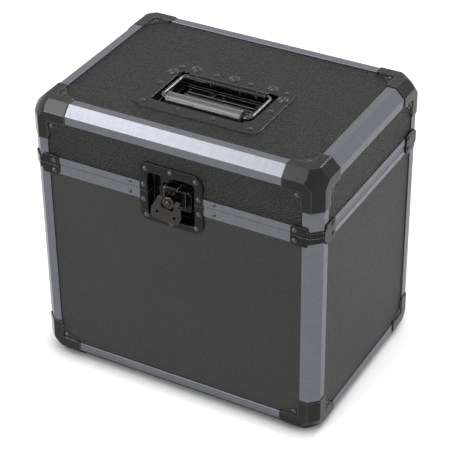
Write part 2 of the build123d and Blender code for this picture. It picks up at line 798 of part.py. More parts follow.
window_half_width = cam_radius + cam_throw + body_clearance
window_half_height = cam_radius + cam_slack
window_middle = -cam_throw
claw_top = hub_z + claw_reach
claw_plane = Plane(origin=(0, claw_back, hub_z), x_dir=(1, 0, 0), z_dir=(0, -1, 0))
with BuildPart() as latch_claw:
    with BuildSketch(claw_plane):
        with Locations((0, window_middle)):
            Rectangle(2 * (window_half_width + claw_wall), 2 * (window_half_height + claw_wall))
        Rectangle(claw_neck_width, claw_reach, align=(Align.CENTER, Align.MIN))
        with Locations((0, window_middle)):
            Rectangle(2 * window_half_width, 2 * window_half_height, mode=Mode.SUBTRACT)
    extrude(amount=claw_thickness)
    block((-claw_head_width / 2, claw_head_width / 2), (front_face - claw_head_front, claw_back),
          (claw_top - claw_head_height, claw_top))
    front_edges = latch_claw.faces().sort_by(Axis.Y)[0].edges()
    fillet(front_edges.filter_by(Axis.X), radius=claw_head_round)
    block((-claw_neck_width / 2, claw_neck_width / 2), (claw_back, claw_back + claw_bar_depth),
          (claw_top - claw_bar_height, claw_top))
save(latch_claw.part, "latch_claw")

wing_plane = pivot_plane * Rotation(-wing_tilt, 0, 0)
ear_inside = hub_radius + wing_gap
with BuildPart() as latch_wing:
    with BuildSketch(wing_plane) as plan:
        with BuildLine():
            half = [(ear_inside, wing_ear_top), (wing_ear_outside, wing_ear_top),
                    (wing_width / 2, -wing_shoulder), (wing_foot_width / 2, -wing_length)]
            Polyline(*half, *[(-u, v) for u, v in reversed(half)], (-ear_inside, -wing_notch),
                     (ear_inside, -wing_notch), close=True)
        make_face()
        levels = plan.vertices().group_by(Axis.Y)
        fillet(levels[0] + levels[1], radius=wing_corner)
        fillet(plan.vertices().filter_by_position(Axis.Y, -wing_notch, -wing_notch),
               radius=wing_notch_corner)
        tips = plan.vertices().group_by(Axis.Y)[-1].sort_by(Axis.X)
        fillet([tips[0], tips[-1]], radius=wing_ear_corner)
        hole_x = wing_hole_spacing / 2
        with Locations((-hole_x, -wing_hole_drop), (hole_x, -wing_hole_drop)):
            Circle(wing_hole_radius, mode=Mode.SUBTRACT)
    extrude(amount=wing_thickness / 2, both=True)
    ear_length = wing_ear_outside - ear_inside
    with Locations(pivot_plane):
        with Locations((-ear_inside - ear_length / 2, 0, 0), (ear_inside + ear_length / 2, 0, 0)):
            Cylinder(wing_ear_radius, ear_length, rotation=(0, 90, 0))
        Cylinder(pivot_radius + pivot_play, 3 * wing_ear_outside, rotation=(0, 90, 0),
                 mode=Mode.SUBTRACT)
save(latch_wing.part, "latch_wing")


# Handle: dish, bail and grip

tray_floor = plate_top - tray_depth
bail_z = top - bail_drop
bail_y = middle_y + bail_pivot
bail_half_width = tray_width / 2 - bail_gap - wire_radius
barrel_half_length = bail_half_width - wire_bend - barrel_end_gap
grip_y = middle_y + tray_front + grip_gap + grip_radius


def tray_below_step(margin, high, low, mode=Mode.ADD):
    """The tray's space between two levels, widened by a margin and ended at the step behind."""
    with BuildSketch(Plane.XY.offset(high)) as space:
        tray_outline(margin)
        with Locations((0, middle_y + tray_step_front + margin)):
            Rectangle(2 * tray_width, tray_back - tray_front, align=(Align.CENTER, Align.MIN),
                      mode=Mode.SUBTRACT)
    extrude(space.sketch, amount=low - high, mode=mode)


def barrel_length(radius, start, end, mode=Mode.ADD):
    """A matching length of the barrel on each side of the middle."""
    middle = (start + end) / 2
    with Locations((-middle, bail_y, bail_z), (middle, bail_y, bail_z)):
        Cylinder(radius, end - start, rotation=(0, 90, 0), mode=mode)


step_top = plate_top - tray_step_drop
step_y = middle_y + tray_step_front
with BuildPart() as handle_dish:
    with BuildSketch(Plane.XY.offset(panel_top)):
        with Locations((0, middle_y + handle_centre)):
            RectangleRounded(handle_width, handle_depth, handle_corner)
    extrude(amount=handle_plate)
    with BuildSketch(Plane.XY.offset(panel_top)):
        tray_outline(tray_wall)
    extrude(amount=step_top - tray_wall - panel_top)
    tray_below_step(tray_wall, step_top, tray_floor - tray_wall)
    with BuildSketch(Plane.XY.offset(plate_top)):
        tray_outline(0)
    extrude(amount=step_top - plate_top, mode=Mode.SUBTRACT)
    tray_below_step(0, step_top, tray_floor, Mode.SUBTRACT)
    fillet(handle_dish.faces().sort_by(Axis.Z)[-1].edges(), radius=handle_edge_round)
    fillet(handle_dish.edges().filter_by(Axis.X).filter_by_position(Axis.Z, step_top, step_top)
           .sort_by(Axis.Y)[0], radius=tray_step_round)
    for rib in range(rib_count):
        y = middle_y + tray_front + rib_first - rib * rib_pitch
        block((rib_margin - tray_width / 2, tray_width / 2 - rib_margin),
              (y - rib_width / 2, y + rib_width / 2), (tray_floor, tray_floor + rib_height))
    with Locations((stop_place, step_y - stop_gap - stop_radius, tray_floor)):
        Cylinder(stop_radius, stop_height, align=(Align.CENTER, Align.CENTER, Align.MIN))
    stop_top = tray_floor + stop_height
    stop_rim = handle_dish.edges().filter_by_position(Axis.Z, stop_top, stop_top)
    fillet(stop_rim, radius=stop_round)
    block((-barrel_half_length, barrel_half_length), (bail_y, middle_y + tray_back + tray_wall),
          (panel_top, plate_top))
    barrel_length(barrel_radius, 0, barrel_half_length)
    barrel_length(tongue_radius, tongue_inner, tongue_outer)
    for start in (tongue_inner - tongue_gap, tongue_outer):
        for side in (-1, 1):
            block(sorted((side * start, side * (start + tongue_gap))),
                  (step_y - tray_step_round, middle_y + tray_back), (step_top, plate_top + tongue_radius),
                  mode=Mode.SUBTRACT)
    barrel_length(barrel_core, 0, barrel_half_length)
    with Locations((0, bail_y, bail_z)):
        Cylinder(wire_radius + wire_play, 3 * barrel_half_length, rotation=(0, 90, 0),
                 mode=Mode.SUBTRACT)
    drill(seats_on("top", handle_places + large_places, 0), channel_depth)
    drill(seats_on("top", tray_places, top - tray_floor), 2 * tray_wall)
save(handle_dish.part, "handle_dish")

with BuildPart() as handle_bail:
    with BuildLine(Plane.XY.offset(bail_z)) as loop:
        FilletPolyline((bail_half_width, bail_y), (bail_half_width, grip_y),
                       (-bail_half_width, grip_y), (-bail_half_width, bail_y),
                       radius=wire_bend, close=True)
    with BuildSketch(Plane(origin=loop.wire() @ 0, z_dir=loop.wire() % 0)):
        Circle(wire_radius)
    sweep(path=loop.wire())
save(handle_bail.part, "handle_bail")

grip_half = bail_half_width - wire_bend - grip_end_gap
with BuildPart() as handle_grip:
    with Locations((0, grip_y, bail_z)):
        Cylinder(grip_radius, 2 * grip_half, rotation=(0, 90, 0))
    ring_middle = grip_half - grip_ring / 2
    with Locations((-ring_middle, grip_y, bail_z), (ring_middle, grip_y, bail_z)):
        Cylinder(grip_ring_radius, grip_ring, rotation=(0, 90, 0))
    ends = handle_grip.faces().filter_by(Axis.X).sort_by(Axis.X)
    fillet(ends[0].edges() + ends[-1].edges(), radius=grip_round)
    with Locations((0, grip_y, bail_z)):
        Cylinder(wire_radius + wire_play, 3 * grip_half, rotation=(0, 90, 0), mode=Mode.SUBTRACT)
save(handle_grip.part, "handle_grip")


# Rear hinges

knuckle_length = (hinge_length - (hinge_knuckles - 1) * hinge_knuckle_gap) / hinge_knuckles
knuckle_starts = [-hinge_length / 2 + i * (knuckle_length + hinge_knuckle_gap)
                  for i in range(hinge_knuckles)]
hinge_y = back_face + hinge_offset
hinge_places_x = (-hinge_middle, hinge_middle)
for prefix, sign in prefixes.items():
    own = knuckle_starts[0::2] if prefix == "base" else knuckle_starts[1::2]
    other = knuckle_starts[1::2] if prefix == "base" else knuckle_starts[0::2]
    edge = lid_seam if prefix == "lid" else base_seam
    with BuildPart() as leaves:
        for x in hinge_places_x:
            block((x - hinge_length / 2, x + hinge_length / 2), (back_face, back_face + hinge_leaf),
                  sorted((edge, seam + sign * hinge_leaf_height)))
            for start in other:
                low = x + start - hinge_knuckle_gap
                high = x + start + knuckle_length + hinge_knuckle_gap
                notch = hinge_knuckle_radius + hinge_notch_gap
                block((low, high), (back_face, hinge_y),
                      sorted((seam - sign * notch, seam + sign * notch)), mode=Mode.SUBTRACT)
            for start in own:
                block((x + start, x + start + knuckle_length), (back_face, hinge_y),
                      sorted((edge, seam + sign * hinge_knuckle_radius)))
                with Locations((x + start + knuckle_length / 2, hinge_y, seam)):
                    Cylinder(hinge_knuckle_radius, knuckle_length, rotation=(0, 90, 0))
            with Locations((x, hinge_y, seam)):
                Cylinder(hinge_pin_radius + hinge_pin_play, 2 * hinge_length, rotation=(0, 90, 0),
                         mode=Mode.SUBTRACT)
        drill(seats_on("back", hinge_places("back", prefix), 0), channel_depth)
    save(leaves.part, f"hinge_leaves_{prefix}")

with BuildPart() as hinge_pins:
    for x in hinge_places_x:
        with Locations((x, hinge_y, seam)):
            Cylinder(hinge_pin_radius, hinge_length + 2 * seat_clearance, rotation=(0, 90, 0))
        reach = (hinge_length + hinge_pin_head) / 2 + seat_clearance
        with Locations((x - reach, hinge_y, seam), (x + reach, hinge_y, seam)):
            Cylinder(hinge_pin_head_radius, hinge_pin_head, rotation=(0, 90, 0))
save(hinge_pins.part, "hinge_pins")


# Rivets

def shank(top_of_head, grip):
    """Outline from the top of a rivet's head down its axis and back up round its closed tail."""
    tail = -grip - tail_height
    Polyline((0, top_of_head), (0, tail), (tail_radius, tail), (tail_radius, -grip),
             (shank_radius, -grip), (shank_radius, 0))


def domed_rivet(radius, height, grip):
    """A rivet seated on z = 0 with a round head, closed below a stack of this grip."""
    with BuildPart() as one:
        with BuildSketch(Plane.XZ):
            with BuildLine():
                TangentArc((0, height), (radius, head_rim), tangent=(1, 0))
                Polyline((radius, head_rim), (radius, 0), (shank_radius, 0))
                shank(height, grip)
            make_face()
        revolve(axis=Axis.Z)
    return one.part


def washer_rivet(grip):
    """A large rivet with a hole in its head, on a raised washer, seated on z = 0."""
    rise = large_head_height - washer_seat
    bottom_of_hole = large_head_height - large_head_hole_depth
    with BuildPart() as one:
        with BuildSketch(Plane.XZ):
            with BuildLine():
                Line((shank_radius, 0), (washer_radius, 0))
                ThreePointArc((washer_radius, 0), (washer_crest, washer_height),
                              (large_head_radius, washer_seat))
                ThreePointArc((large_head_radius, washer_seat),
                              ((large_head_hole + 2 * large_head_radius) / 3,
                               washer_seat + rise * large_head_fullness),
                              (large_head_hole, large_head_height))
                Polyline((large_head_hole, large_head_height), (large_head_hole, bottom_of_hole),
                         (0, bottom_of_hole))
                shank(bottom_of_hole, grip)
            make_face()
        revolve(axis=Axis.Z)
    return one.part


def rivets_at(one, places, stand_off):
    """This rivet on every side of the lid or base whose places the function gives."""
    seats = [seat for side in ("front", "back", "left", "right", "top", "bottom")
             for seat in seats_on(side, places(side), -stand_off)]
    with Locations(*seats):
        add(one)


def small_rivets(places, stand_off, grip):
    """The usual rivets, with their heads at a stand-off from the case's faces."""
    rivets_at(domed_rivet(head_radius, head_height, grip), places, stand_off)


def fine_rivets(places, stand_off, grip):
    """The finer rivets of the seam extrusions, the hinges and the handle's tray."""
    rivets_at(domed_rivet(small_head_radius, small_head_height, grip), places, stand_off)


def cap_sides(side, prefix):
    """Places of the corner caps' rivets, without the face at the seam."""
    return [] if side == ("bottom" if prefix == "lid" else "top") else cap_places(side, prefix)


def wall_sides(side, places, prefix):
    """Places on the four upright walls alone."""
    return [] if side in ("top", "bottom") else places(side, prefix)


for prefix in prefixes:
    with BuildPart() as rivets:
        small_rivets(lambda side: cap_sides(side, prefix), cap_flange_wall - leg_wall,
                     panel_thickness + cap_flange_wall)
        small_rivets(lambda side: wall_sides(side, bracket_places, prefix), bracket_wall,
                     bracket_wall + channel_depth)
        fine_rivets(lambda side: rail_places(side, prefix), 0, channel_depth)
        small_rivets(lambda side: latch_side_places(side, prefix), latch_plate,
                     latch_plate + channel_depth)
        small_rivets(lambda side: latch_end_places(side, prefix), latch_plate,
                     latch_plate + panel_back)
        fine_rivets(lambda side: hinge_places(side, prefix), hinge_leaf, hinge_leaf + channel_depth)
        if prefix == "lid":
            stack = handle_plate + panel_thickness
            small_rivets(lambda side: handle_places if side == "top" else [], plate_top - top, stack)
            fine_rivets(lambda side: tray_places if side == "top" else [], tray_floor - top, tray_wall)
            rivets_at(washer_rivet(stack), lambda side: large_places if side == "top" else [],
                      plate_top - top)
    save(rivets.part, f"{prefix}_rivets")


# Padding

pad_x = right_face - channel_depth - pad_margin
pad_y = case_depth / 2 - channel_depth - pad_margin
facet_clear = (facet_reach + edge_chamfer + pad_corner_gap - channel_depth) / 2
pad_round = (facet_clear - channel_depth - pad_margin) / (1 - 1 / sqrt(2))
floor_level = bottom + channel_depth
with BuildPart() as floor_pad:
    block((-pad_x, pad_x), (middle_y - pad_y, middle_y + pad_y),
          (floor_level, floor_level + floor_pad_thickness))
    fillet(floor_pad.edges().filter_by(Axis.Z), radius=pad_round)
save(floor_pad.part, "floor_pad")

with BuildPart() as lid_pad:
    block((-pad_x, pad_x), (middle_y - pad_y, middle_y + pad_y),
          (top - channel_depth - lid_pad_thickness, top - channel_depth))
    fillet(lid_pad.edges().filter_by(Axis.Z), radius=pad_round)
    with BuildSketch(Plane.XY.offset(top)):
        tray_outline(tray_wall + pad_margin)
    extrude(amount=-2 * channel_depth - lid_pad_thickness, mode=Mode.SUBTRACT)
save(lid_pad.part, "lid_pad")
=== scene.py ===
import json
from math import cos, radians, sin

import bmesh
import bpy
import numpy as np
from mathutils import Matrix, Vector


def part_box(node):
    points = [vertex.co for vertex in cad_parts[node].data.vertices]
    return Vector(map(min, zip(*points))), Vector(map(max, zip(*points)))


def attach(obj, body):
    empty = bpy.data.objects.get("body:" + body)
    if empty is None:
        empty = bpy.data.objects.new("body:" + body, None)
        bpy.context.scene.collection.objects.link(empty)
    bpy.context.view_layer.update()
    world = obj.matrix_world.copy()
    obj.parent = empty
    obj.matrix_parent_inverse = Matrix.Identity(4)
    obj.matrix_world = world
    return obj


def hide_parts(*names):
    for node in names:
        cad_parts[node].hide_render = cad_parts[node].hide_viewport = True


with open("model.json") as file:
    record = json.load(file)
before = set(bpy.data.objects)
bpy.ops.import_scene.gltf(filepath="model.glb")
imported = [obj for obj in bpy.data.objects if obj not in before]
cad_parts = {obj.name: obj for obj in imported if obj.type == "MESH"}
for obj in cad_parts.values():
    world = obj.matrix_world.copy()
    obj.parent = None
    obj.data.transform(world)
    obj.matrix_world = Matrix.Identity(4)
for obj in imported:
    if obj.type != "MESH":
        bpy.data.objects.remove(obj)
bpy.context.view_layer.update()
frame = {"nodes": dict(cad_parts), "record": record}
MM = 0.001


# Case's own places, in metres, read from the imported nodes

def box_round(*nodes):
    """The low and the high corner of the box round some nodes."""
    corners = [Vector(corner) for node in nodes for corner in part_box(node)]
    return Vector(map(min, *corners)), Vector(map(max, *corners))


case_low, case_high = box_round(
    "base_bottom_rail_front", "base_bottom_rail_back", "lid_top_rail_front", "lid_top_rail_back")
CASE_Y = (case_low.y + case_high.y) / 2
FLOOR_TO_RAIL = case_low.z
HUB = next(Vector(joint["pos_m"]) for joint in frame["record"]["behaviour"]["joints"]
           if joint["name"] == "latch_turn")


# Shader tools

def colour(r, g, b):
    """Linear colour from 0 to 255 screen values."""
    def linear(value):
        c = value / 255
        return c / 12.92 if c <= 0.04045 else ((c + 0.055) / 1.055) ** 2.4
    return (linear(r), linear(g), linear(b), 1)


def new_group(name, inputs, outputs):
    """An empty shader group with (name, kind, default) inputs and (name, kind) outputs."""
    group = bpy.data.node_groups.new(name, "ShaderNodeTree")
    for label, kind, default in inputs:
        socket = group.interface.new_socket(label, in_out="INPUT", socket_type=kind)
        if default is not None:
            socket.default_value = default
    for label, kind in outputs:
        group.interface.new_socket(label, in_out="OUTPUT", socket_type=kind)
    return group, group.nodes.new("NodeGroupInput"), group.nodes.new("NodeGroupOutput")


def feed(socket, value):
    """Link an output to a socket, or set the socket's own value."""
    if value is None:
        return
    if isinstance(value, bpy.types.NodeSocket):
        socket.id_data.links.new(value, socket)
    else:
        socket.default_value = value


def math_node(nodes, operation, first=None, second=None, third=None):
    """A Math node whose inputs are linked or set."""
    node = nodes.new("ShaderNodeMath")
    node.operation = operation
    for socket, value in zip(node.inputs, (first, second, third)):
        feed(socket, value)
    return node.outputs[0]


def vector_node(nodes, operation, first, second=None):
    """A Vector Math node whose inputs are linked or set."""
    node = nodes.new("ShaderNodeVectorMath")
    node.operation = operation
    feed(node.inputs[0], first)
    feed(node.inputs[1], second)
    return node.outputs["Value" if operation == "DOT_PRODUCT" else "Vector"]


def split_axes(nodes, vector):
    """A vector's X, Y and Z outputs."""
    node = nodes.new("ShaderNodeSeparateXYZ")
    feed(node.inputs[0], vector)
    return node.outputs


def map_range(nodes, value, low, high, to_low, to_high):
    """A clamped linear remap."""
    node = nodes.new("ShaderNodeMapRange")
    for socket, item in zip(node.inputs, (value, low, high, to_low, to_high)):
        feed(socket, item)
    return node.outputs[0]


def noise(nodes, vector, scale, detail=2.0, roughness=0.5):
    """A noise value from 0 to 1."""
    node = nodes.new("ShaderNodeTexNoise")
    feed(node.inputs["Vector"], vector)
    feed(node.inputs["Scale"], scale)
    feed(node.inputs["Detail"], detail)
    feed(node.inputs["Roughness"], roughness)
    return node.outputs["Fac"]


def mix_colour(nodes, factor, first, second):
    """Two colours mixed by a factor."""
    node = nodes.new("ShaderNodeMix")
    node.data_type = "RGBA"
    feed(node.inputs["Factor"], factor)
    feed(node.inputs["A"], first)
    feed(node.inputs["B"], second)
    return node.outputs["Result"]


def bump(nodes, height, strength, distance, normal=None):
    """A bumped normal."""
    node = nodes.new("ShaderNodeBump")
    feed(node.inputs["Height"], height)
    feed(node.inputs["Strength"], strength)
    feed(node.inputs["Distance"], distance)
    feed(node.inputs["Normal"], normal)
    return node.outputs["Normal"]


def pebble_group():
    """Moulded pebble grain: rounded cells of two sizes, a speckle mask that the laminate uses for
    painted glints on the grain, and slow patches.
    """
    group, given, out = new_group(
        "Pebble grain",
        [("Position", "NodeSocketVector", None), ("Cells per metre", "NodeSocketFloat", 700.0),
         ("Depth", "NodeSocketFloat", 0.5)],
        [("Speckle and glint", "NodeSocketFloat"), ("Patches", "NodeSocketFloat"),
         ("Normal", "NodeSocketVector")])
    nodes, links = group.nodes, group.links
    position, cells = given.outputs["Position"], given.outputs["Cells per metre"]
    cell = nodes.new("ShaderNodeTexVoronoi")
    cell.feature = "SMOOTH_F1"
    feed(cell.inputs["Vector"], position)
    feed(cell.inputs["Scale"], cells)
    feed(cell.inputs["Smoothness"], 0.6)
    fine = noise(nodes, position, math_node(nodes, "MULTIPLY", cells, 1.9), 2.0)
    height = math_node(nodes, "SUBTRACT", fine,
                       math_node(nodes, "MULTIPLY", cell.outputs["Distance"], 1.3))
    links.new(bump(nodes, height, given.outputs["Depth"], 0.35 * MM), out.inputs["Normal"])
    coarse = noise(nodes, position, math_node(nodes, "MULTIPLY", cells, 0.9), 3.0, 0.7)
    links.new(map_range(nodes, coarse, 0.36, 0.66, 0.0, 1.0), out.inputs["Speckle and glint"])
    links.new(map_range(nodes, noise(nodes, position, 14.0, 2.0), 0.3, 0.7, 0.0, 1.0),
              out.inputs["Patches"])
    return group


def brushed_group():
    """Fine drawn lines: noise stretched along the metal, with broad bands across it."""
    group, given, out = new_group(
        "Brushed lines",
        [("Position", "NodeSocketVector", None), ("Stretch", "NodeSocketVector", (1, 1, 1)),
         ("Bands", "NodeSocketVector", (1, 1, 1)), ("Depth", "NodeSocketFloat", 0.1)],
        [("Lines", "NodeSocketFloat"), ("Bands", "NodeSocketFloat"),
         ("Normal", "NodeSocketVector")])
    nodes, links = group.nodes, group.links
    position = given.outputs["Position"]
    stretched = vector_node(nodes, "MULTIPLY", position, given.outputs["Stretch"])
    lines = noise(nodes, stretched, 1.0, 3.0, 0.6)
    links.new(lines, out.inputs["Lines"])
    bands = noise(nodes, vector_node(nodes, "MULTIPLY", position, given.outputs["Bands"]), 1.0)
    links.new(map_range(nodes, bands, 0.35, 0.65, 0.0, 1.0), out.inputs["Bands"])
    links.new(bump(nodes, lines, given.outputs["Depth"], 0.05 * MM), out.inputs["Normal"])
    return group


def worn_group():
    """Handling marks on paint: soft smears, fine scratches and a little settled dust."""
    group, given, out = new_group(
        "Handled paint",
        [("Position", "NodeSocketVector", None), ("Orange peel", "NodeSocketFloat", 0.05)],
        [("Smears", "NodeSocketFloat"), ("Scratches", "NodeSocketFloat"),
         ("Dust", "NodeSocketFloat"), ("Normal", "NodeSocketVector")])
    nodes, links = group.nodes, group.links
    position = given.outputs["Position"]
    links.new(map_range(nodes, noise(nodes, position, 60.0, 3.0, 0.6), 0.35, 0.7, 0.0, 1.0),
              out.inputs["Smears"])
    turned = nodes.new("ShaderNodeMapping")
    feed(turned.inputs["Vector"], position)
    turned.inputs["Rotation"].default_value = (0.4, 0.7, 0.5)
    turned.inputs["Scale"].default_value = (60, 2200, 2200)
    scratch = noise(nodes, turned.outputs[0], 1.0, 1.0)
    links.new(map_range(nodes, scratch, 0.70, 0.80, 0.0, 1.0), out.inputs["Scratches"])
    links.new(map_range(nodes, noise(nodes, position, 2600.0, 1.0), 0.66, 0.78, 0.0, 1.0),
              out.inputs["Dust"])
    peel = noise(nodes, position, 420.0, 2.0)
    links.new(bump(nodes, peel, given.outputs["Orange peel"], 0.1 * MM), out.inputs["Normal"])
    return group


def edge_group():
    """Rounded edges: a normal eased over a small radius, and a mask of where it turns, used for
    edge wear and painted edge highlights.
    """
    group, given, out = new_group(
        "Eased edges",
        [("Radius", "NodeSocketFloat", 0.7 * MM), ("Normal", "NodeSocketVector", None)],
        [("Normal", "NodeSocketVector"), ("Rub and highlight", "NodeSocketFloat")])
    nodes, links = group.nodes, group.links

    def bevel(normal=None):
        node = nodes.new("ShaderNodeBevel")
        node.samples = 4
        feed(node.inputs["Radius"], given.outputs["Radius"])
        feed(node.inputs["Normal"], normal)
        return node.outputs[0]

    links.new(bevel(given.outputs["Normal"]), out.inputs["Normal"])
    flat = nodes.new("ShaderNodeNewGeometry").outputs["Normal"]
    agreement = vector_node(nodes, "DOT_PRODUCT", bevel(), flat)
    links.new(map_range(nodes, agreement, 0.97, 0.80, 0.0, 1.0), out.inputs["Rub and highlight"])
    return group


PEBBLE = pebble_group()
EDGES = edge_group()
BRUSHED = brushed_group()
WORN = worn_group()

DUST = colour(150, 148, 142)
BOW_RADIUS = 45 * MM             # of the seam rail's lower face
STEP_SOFTNESS = 0.15             # how much of a step's tilt its shading keeps
HUB_HEAD_RADIUS = 4.4 * MM
HUB_DOME_RADIUS = 6 * MM


def new_material(name):
    """A material with its Principled shader and Object coordinates."""
    material = bpy.data.materials.new(name)
    material.use_nodes = True
    nodes = material.node_tree.nodes
    shader = nodes["Principled BSDF"]
    position = nodes.new("ShaderNodeTexCoord").outputs["Object"]
    return material, nodes, shader, position


def use_group(nodes, group, **values):
    """A group node with its inputs linked or set."""
    node = nodes.new("ShaderNodeGroup")
    node.node_tree = group
    for label, value in values.items():
        feed(node.inputs[label.replace("_", " ")], value)
    return node


def laminate(name, dark, light, cells, depth, roughness, specular=0.38):
    """Black laminate: two near blacks speckled by the grain, rougher in its pits; the lighter
    speckle is partly painted glint on the grain.
    """
    material, nodes, shader, position = new_material(name)
    grain = use_group(nodes, PEBBLE, Position=position, Cells_per_metre=cells, Depth=depth)
    # the light colour of the speckle stands partly for painted glints on the grain
    base = mix_colour(nodes, grain.outputs["Speckle and glint"], dark, light)
    patches = map_range(nodes, grain.outputs["Patches"], 0, 1, 0, 0.25)
    feed(shader.inputs["Base Color"], mix_colour(nodes, patches, base, light))
    feed(shader.inputs["Roughness"],
         map_range(nodes, grain.outputs["Speckle and glint"], 0, 1, roughness + 0.08, roughness - 0.06))
    feed(shader.inputs["Normal"], grain.outputs["Normal"])
    shader.inputs["Specular IOR Level"].default_value = specular
    return material


def anodised(name, along, bowed_below=None):
    """Dark anodised aluminium drawn along one axis, with broad bands across it.

    Where bowed_below is given, the steps in its face are softened, and below that height the face
    curves away towards its lower edge, as drawn metal does.
    """
    stretch = tuple(6.0 if axis == along else 2600.0 for axis in "XYZ")
    bands = tuple(260.0 if axis == along else 35.0 for axis in "XYZ")
    material, nodes, shader, position = new_material(f"{name} {along}")
    brushed = use_group(nodes, BRUSHED, Position=position, Stretch=stretch, Bands=bands, Depth=0.12)
    tone = math_node(nodes, "MULTIPLY_ADD", brushed.outputs["Bands"], 0.3,
                     math_node(nodes, "MULTIPLY", brushed.outputs["Lines"], 0.7))
    feed(shader.inputs["Base Color"],
         mix_colour(nodes, tone, colour(106, 108, 114), colour(119, 121, 128)))
    feed(shader.inputs["Roughness"],
         map_range(nodes, brushed.outputs["Lines"], 0.2, 0.8, 0.22, 0.35))
    normal = brushed.outputs["Normal"]
    if bowed_below is not None:
        over = math_node(nodes, "SUBTRACT", split_axes(nodes, position)["Z"], bowed_below)
        square = math_node(nodes, "POWER", math_node(nodes, "MINIMUM", over, 0), 2.0)
        bow = math_node(nodes, "MULTIPLY", square, -1 / (2 * BOW_RADIUS))
        level = vector_node(nodes, "MULTIPLY", normal, (1, 1, STEP_SOFTNESS))
        normal = bump(nodes, bow, 1.0, 1.0, vector_node(nodes, "NORMALIZE", level))
    feed(shader.inputs["Normal"], normal)
    shader.inputs["Metallic"].default_value = 1.0
    return material


def share_of(nodes, mask, most):
    """A mask from 0 to 1, brought down to reach most."""
    return map_range(nodes, mask, 0, 1, 0, most)


def black_paint(name, base, wear_and_highlight, roughness, specular=0.25, peel=0.04, easing=0.6 * MM, rub_and_highlight=0.8):
    """Black paint on steel with smears, hairline scratches, dust and eased edges tinted light,
    partly as wear and partly as painted edge highlight.
    """
    material, nodes, shader, position = new_material(name)
    marks = use_group(nodes, WORN, Position=position, Orange_peel=peel)
    scratched = mix_colour(nodes, share_of(nodes, marks.outputs["Scratches"], 0.35), base, wear_and_highlight)
    dusted = mix_colour(nodes, share_of(nodes, marks.outputs["Dust"], 0.15), scratched, DUST)
    edges = use_group(nodes, EDGES, Radius=easing, Normal=marks.outputs["Normal"])
    # eased edges are tinted towards the light colour: partly edge wear, partly painted edge
    # highlight
    feed(shader.inputs["Base Color"],
         mix_colour(nodes, share_of(nodes, edges.outputs["Rub and highlight"], rub_and_highlight), dusted, wear_and_highlight))
    feed(shader.inputs["Roughness"],
         map_range(nodes, marks.outputs["Smears"], 0, 1, roughness - 0.04, roughness + 0.08))
    feed(shader.inputs["Normal"], edges.outputs["Normal"])
    shader.inputs["Specular IOR Level"].default_value = specular
    return material


def foam(name, dark, light):
    """Dark open foam: small pores in a soft, matt body with a faint sheen."""
    material, nodes, shader, position = new_material(name)
    pore = nodes.new("ShaderNodeTexVoronoi")
    feed(pore.inputs["Vector"], position)
    feed(pore.inputs["Scale"], 900.0)
    wide = noise(nodes, position, 45.0, 3.0)
    tone = math_node(nodes, "MULTIPLY_ADD", pore.outputs["Distance"], 0.8,
                     math_node(nodes, "MULTIPLY", wide, 0.4))
    feed(shader.inputs["Base Color"], mix_colour(nodes, tone, dark, light))
    feed(shader.inputs["Roughness"], map_range(nodes, wide, 0.3, 0.7, 0.86, 0.97))
    feed(shader.inputs["Normal"], bump(nodes, pore.outputs["Distance"], 0.6, 0.6 * MM))
    shader.inputs["Sheen Weight"].default_value = 0.25
    return material


def moulded_rubber(name, base, light):
    """Smooth black rubber, slightly uneven in gloss."""
    material, nodes, shader, position = new_material(name)
    marks = use_group(nodes, WORN, Position=position)
    feed(shader.inputs["Base Color"], mix_colour(nodes, marks.outputs["Smears"], base, light))
    feed(shader.inputs["Roughness"], map_range(nodes, marks.outputs["Smears"], 0, 1, 0.38, 0.46))
    shader.inputs["Specular IOR Level"].default_value = 1.0
    shader.inputs["Coat Weight"].default_value = 1.0
    shader.inputs["Coat Roughness"].default_value = 0.32
    return material


def hub_nickel(name, base, wear_and_highlight, roughness):
    """Black nickel on the latch's hub, its flat head spun to a low dome about the hub's axis."""
    material, nodes, shader, position = new_material(name)
    marks = use_group(nodes, WORN, Position=position, Orange_peel=0.02)
    centred = nodes.new("ShaderNodeMapping")
    feed(centred.inputs["Vector"], position)
    centred.inputs["Location"].default_value = tuple(-HUB)
    axes = split_axes(nodes, centred.outputs[0])
    square = math_node(nodes, "ADD", math_node(nodes, "POWER", axes["X"], 2.0),
                       math_node(nodes, "POWER", axes["Z"], 2.0))
    on_head = math_node(nodes, "MINIMUM", square, HUB_HEAD_RADIUS ** 2)
    dome = math_node(nodes, "MULTIPLY", on_head, -1 / (2 * HUB_DOME_RADIUS))
    domed = bump(nodes, dome, 1.0, 1.0, marks.outputs["Normal"])
    edges = use_group(nodes, EDGES, Radius=0.5 * MM)
    # its edges are tinted lighter: partly edge wear, partly painted edge highlight
    feed(shader.inputs["Base Color"],
         mix_colour(nodes, share_of(nodes, edges.outputs["Rub and highlight"], 0.6), base, wear_and_highlight))
    feed(shader.inputs["Roughness"],
         map_range(nodes, marks.outputs["Smears"], 0, 1, roughness - 0.03, roughness + 0.07))
    feed(shader.inputs["Normal"], domed)
    shader.inputs["Metallic"].default_value = 1.0
    return material


# Finishes

# Copies of one laminate: each sets its tone and speckle contrast to the light that falls on its
# panels, as painted light and shade.
lid_laminate_painted_light = laminate("coarse laminate with painted light", colour(1, 1, 1), colour(56, 56, 55), 500.0, 3.0,
                      0.44, specular=0.20)
side_laminate_painted_light = laminate("black laminate", colour(12, 12, 12), colour(46, 46, 45), 620.0, 1.6, 0.48)
front_panel = laminate("fine laminate with painted light", colour(29, 29, 29), colour(41, 41, 40), 700.0, 0.6,
                       0.48)
BOW_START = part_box("base_front_panel")[1][2] + 1 * MM
edge_along = {axis: anodised("anodised edge", axis) for axis in "XYZ"}
bowed_along = {axis: anodised("anodised bowed edge", axis, BOW_START) for axis in "XY"}
